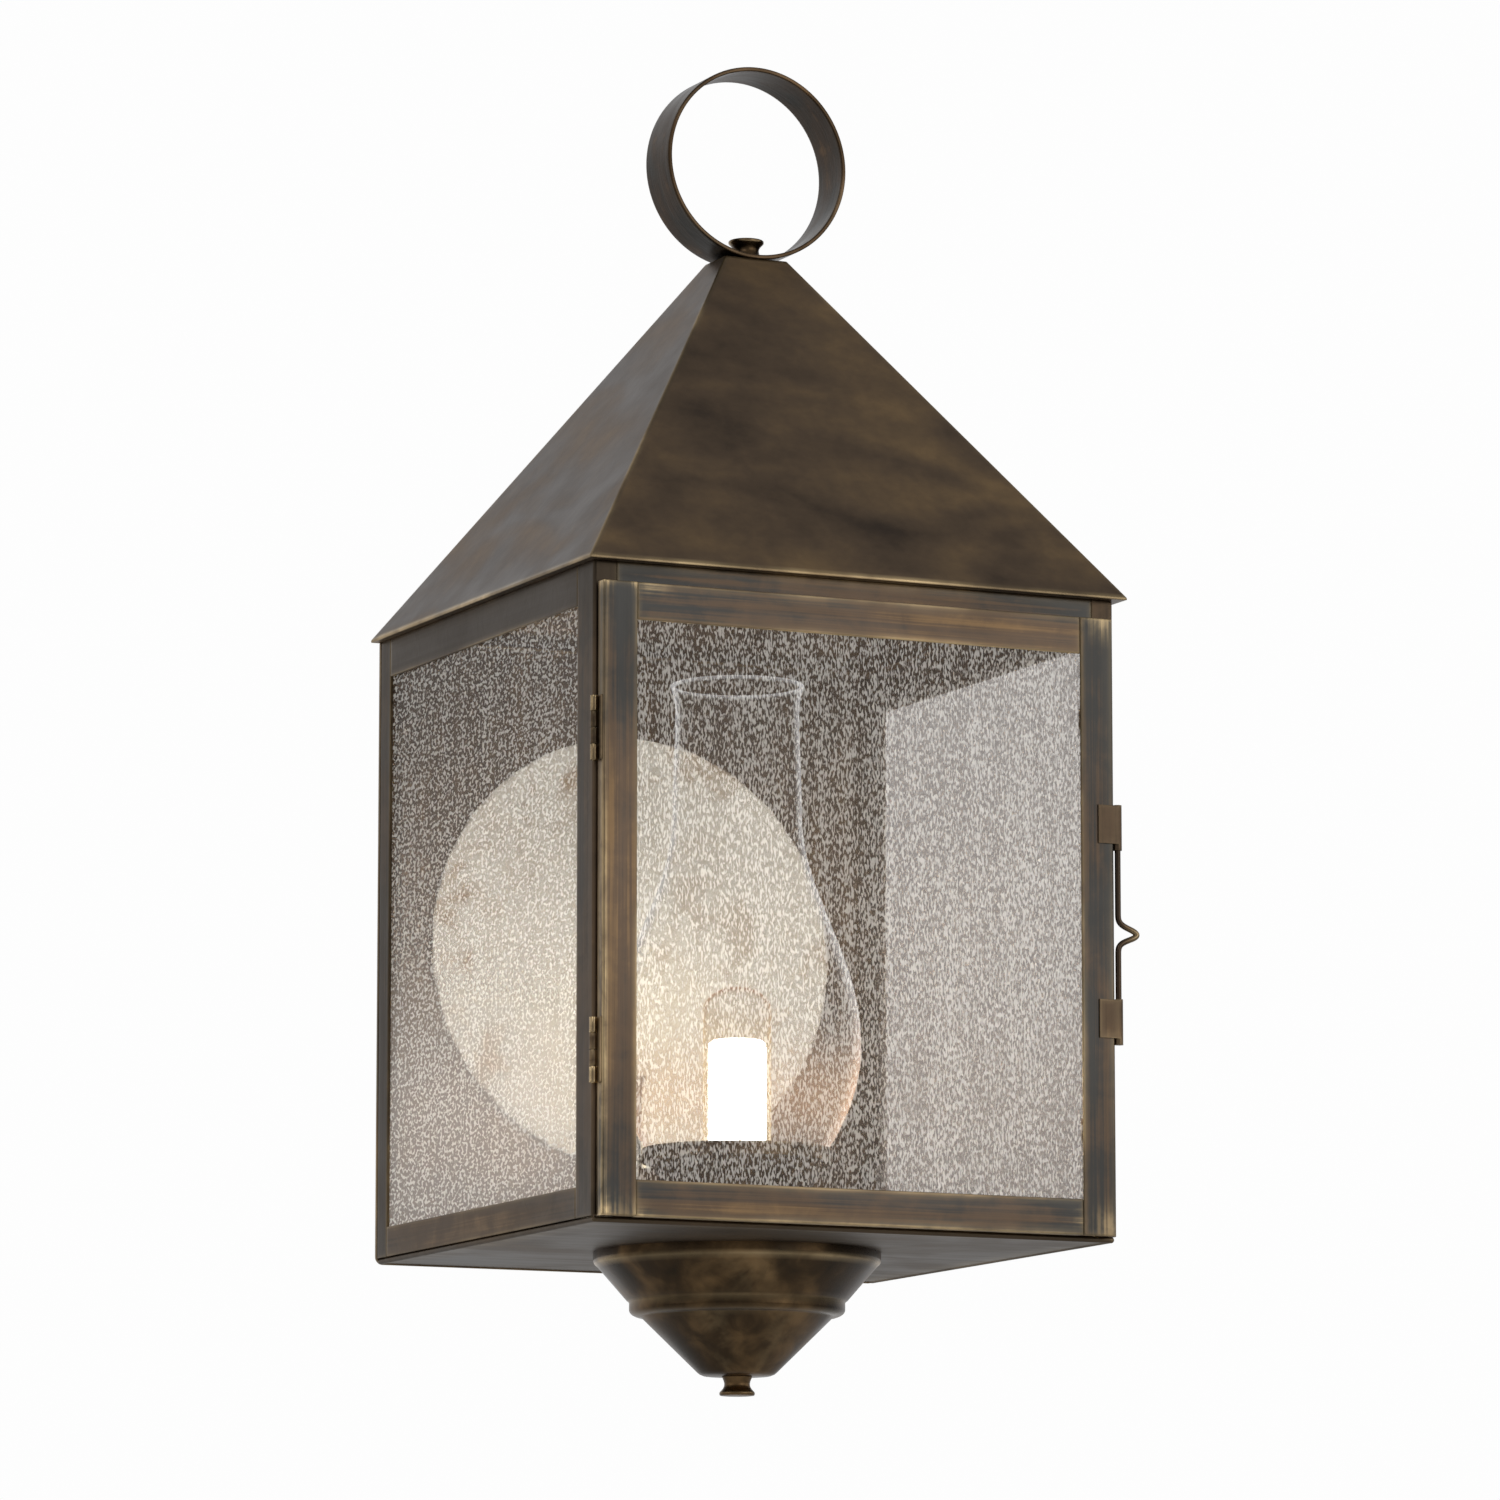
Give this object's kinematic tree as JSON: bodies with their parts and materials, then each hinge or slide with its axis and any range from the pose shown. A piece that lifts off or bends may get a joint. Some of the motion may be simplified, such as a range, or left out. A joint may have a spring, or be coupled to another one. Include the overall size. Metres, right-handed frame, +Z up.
{
  "type": "wall lantern",
  "caption": "Four-sided brass wall lantern with seeded glass panes, a hinged latched door, hipped roof with hanging ring, spun cone base, and a glass chimney over the lamp.",
  "frame": {"origin": "centre of the two wall screw holes, on the back plate's rear face, which lies on the wall", "axes": "+Y into the wall, -Y out of it towards the door, +Z up, +X to the right when looking at the door from the front"},
  "size_m": [0.2209, 0.2096, 0.5015],
  "materials": {
    "aged_brass": "dark aged, lightly brushed, rubbed bright on its edges",
    "rubbed_brass": "aged, rubbed bright where it is handled",
    "yellow_brass": "plain machined",
    "dark_wire": "dark drawn wire",
    "seeded_glass": "clear, rippled all over",
    "clear_glass": "clear, polished",
    "bulb_glass": "clear, polished",
    "glowing_sleeve": "lit warm white",
    "reflector_cream": "satin cream",
    "porcelain": "glazed white",
    "plated_steel": "zinc plated",
    "black_rubber": "matte",
    "white_sleeve": "matte",
    "green_metal": "green"
  },
  "bodies": {
    "body": {"back_plate": "aged_brass", "post_front_left": "aged_brass", "post_front_right": "aged_brass", "post_rear_left": "aged_brass", "post_rear_right": "aged_brass", "header_rail": "aged_brass", "sill_rail": "aged_brass", "top_rail_left": "aged_brass", "top_rail_right": "aged_brass", "bottom_rail_left": "aged_brass", "bottom_rail_right": "aged_brass", "floor_pan": "aged_brass", "roof": "aged_brass", "ring": "aged_brass", "top_knob": "rubbed_brass", "ring_bolt": "rubbed_brass", "pane_left": "seeded_glass", "pane_right": "seeded_glass", "side_pane_clips": "aged_brass", "reflector": "reflector_cream", "reflector_standoff": "yellow_brass", "reflector_screw": "rubbed_brass", "wire_bushing": "black_rubber", "lead_black": "black_rubber", "lead_white": "white_sleeve", "ground_screw": "green_metal", "lamp_nipple": "yellow_brass", "nipple_nuts": "yellow_brass", "hickey": "plated_steel", "cone_rod": "plated_steel", "cone": "aged_brass", "bottom_knob": "rubbed_brass", "chimney_cup": "aged_brass", "socket": "porcelain", "screw_shell": "yellow_brass", "contact_tab": "yellow_brass", "hinge_leaves_post": "rubbed_brass", "hinge_pins": "rubbed_brass"},
    "door": {"stile_left": "aged_brass", "stile_right": "aged_brass", "door_rail_top": "aged_brass", "door_rail_bottom": "aged_brass", "door_pane": "seeded_glass", "door_pane_clips": "aged_brass", "hinge_leaves_door": "rubbed_brass", "latch_tab_upper": "rubbed_brass", "latch_tab_lower": "rubbed_brass"},
    "latch": {"latch_wire": "dark_wire"},
    "chimney": {"chimney_bowl": "clear_glass", "chimney_neck": "clear_glass"},
    "bulb": {"bulb_base": "yellow_brass", "bulb_glass": "bulb_glass", "bulb_sleeve": "glowing_sleeve"}
  },
  "joints": [
    {"name": "door_hinge", "type": "hinge", "parent": "body", "child": "door", "pos_m": [-0.1056, -0.2047, -0.0045], "axis": [0, 0, -1], "range_deg": [0, 110]},
    {"name": "latch_swivel", "type": "hinge", "parent": "door", "child": "latch", "pos_m": [0.1036, -0.208, -0.0072], "axis": [0, 0, 1], "range_deg": [-90, 60]},
    {"name": "chimney_lift", "type": "slide", "parent": "body", "child": "chimney", "axis": [0, 0, 1], "range_m": [0, 0.065]},
    {"name": "bulb_turn", "type": "hinge", "parent": "body", "child": "bulb", "pos_m": [0, -0.099, -0.09], "axis": [0, 0, 1], "continuous": true}
  ]
}
